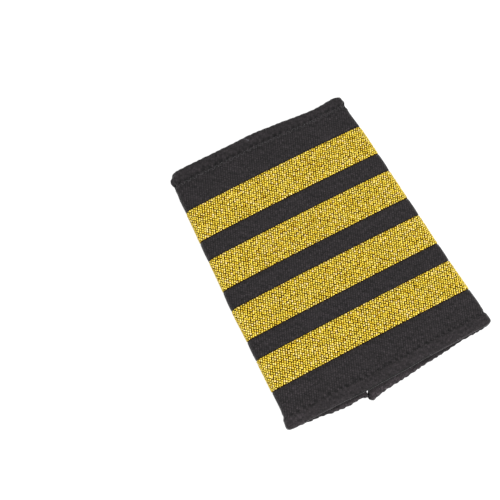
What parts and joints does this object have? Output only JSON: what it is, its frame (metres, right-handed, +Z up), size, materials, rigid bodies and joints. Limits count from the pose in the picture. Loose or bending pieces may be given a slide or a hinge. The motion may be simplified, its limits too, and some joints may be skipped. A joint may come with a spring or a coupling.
{
  "type": "slide-on epaulette",
  "caption": "Flattened black cloth loop, hemmed at both ends, with gold woven bars across it, that slides over a shoulder strap.",
  "frame": {"origin": "middle of the footprint, on the surface that the epaulette lies on", "axes": "+Z up out of the barred face, +Y along the loop towards its narrow collar end, -Y towards the wide shoulder end, +X to the right seen from above with the collar end away from the viewer"},
  "size_m": [0.073, 0.0908, 0.0094],
  "materials": {
    "black_cloth": "matt twill with a smooth face",
    "gold_weave": "metallic gold yarn woven in twill, glittering"
  },
  "bodies": {
    "root": {"sleeve": "black_cloth", "gold_bar_1": "gold_weave", "gold_bar_2": "gold_weave", "gold_bar_3": "gold_weave", "gold_bar_4": "gold_weave"}
  },
  "joints": []
}
